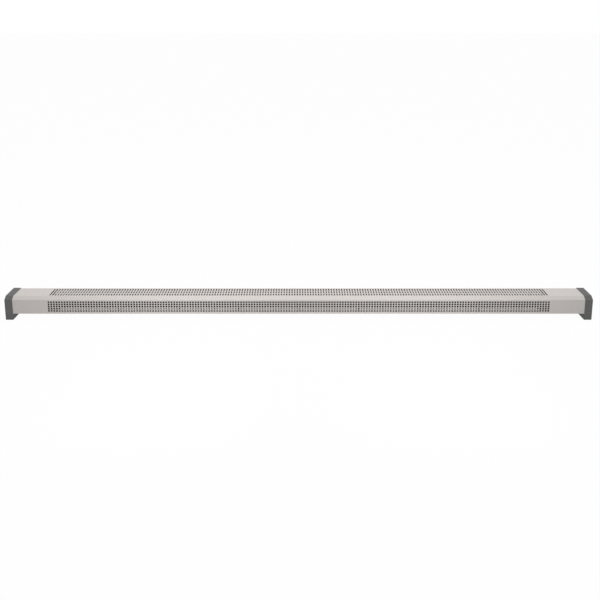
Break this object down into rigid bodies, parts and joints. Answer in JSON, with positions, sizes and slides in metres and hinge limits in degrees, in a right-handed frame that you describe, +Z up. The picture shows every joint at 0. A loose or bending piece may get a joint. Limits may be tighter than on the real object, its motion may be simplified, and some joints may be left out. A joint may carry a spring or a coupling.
{
  "type": "plinth heater",
  "caption": "Long, low convector heater: folded perforated steel casing with a bevelled front edge on two dark moulded end caps that are its feet, over a finned heating rod.",
  "frame": {"origin": "on the floor at the middle of the footprint", "axes": "+X along the heater, the perforated front faces -Y, +Z up"},
  "size_m": [2, 0.059, 0.0824],
  "materials": {
    "casing_paint": "satin powder coat, warm light grey",
    "cap_plastic": "fine spark texture",
    "chassis_paint": "matt heat-resistant black",
    "screw_zinc": "bright zinc plate",
    "reflector_sheet": "bright rolled",
    "rivet_metal": "plain",
    "sheath_steel": "heat-darkened stainless",
    "fin_steel": "heat-darkened",
    "ceramic_white": "unglazed",
    "magnesia": "packed powder",
    "terminal_brass": "plain",
    "block_plastic": "cream nylon",
    "cutout_plastic": "black phenolic",
    "reset_red": "moulded",
    "sensor_steel": "drawn stainless, heat-dulled",
    "brown_sleeve": "silicone",
    "heat_sleeve": "black silicone-coated glass braid",
    "green_sleeve": "silicone",
    "grommet_rubber": "moulded"
  },
  "bodies": {
    "heater": {"casing": "casing_paint", "chassis": "chassis_paint", "end_cap_left": "cap_plastic", "end_cap_right": "cap_plastic", "end_cap_screws": "screw_zinc", "casing_screws": "screw_zinc", "bulkhead_left": "chassis_paint", "bulkhead_right": "chassis_paint", "element_hangers": "chassis_paint", "heat_reflector": "reflector_sheet", "rivets": "rivet_metal", "element_sheath": "sheath_steel", "element_core": "magnesia", "element_fins": "fin_steel", "element_bushes": "ceramic_white", "element_beads": "ceramic_white", "element_pins": "sheath_steel", "pin_nuts": "terminal_brass", "wire_lugs": "terminal_brass", "live_wire": "brown_sleeve", "switched_wire": "brown_sleeve", "neutral_wire": "heat_sleeve", "earth_wire": "green_sleeve", "terminal_block": "block_plastic", "terminal_tubes": "terminal_brass", "terminal_screws": "screw_zinc", "block_screws": "screw_zinc", "cutout_body": "cutout_plastic", "cutout_screws": "screw_zinc", "sensor_tube": "sensor_steel", "earth_screw": "terminal_brass", "earth_nuts": "terminal_brass", "cable_grommet": "grommet_rubber"},
    "reset_button": {"reset_button": "reset_red"}
  },
  "joints": [
    {"name": "reset_press", "type": "slide", "parent": "heater", "child": "reset_button", "axis": [0, 0, 1], "range_m": [0, 0.002], "stiffness_N_per_m": 400, "springref_m": -0.002}
  ]
}
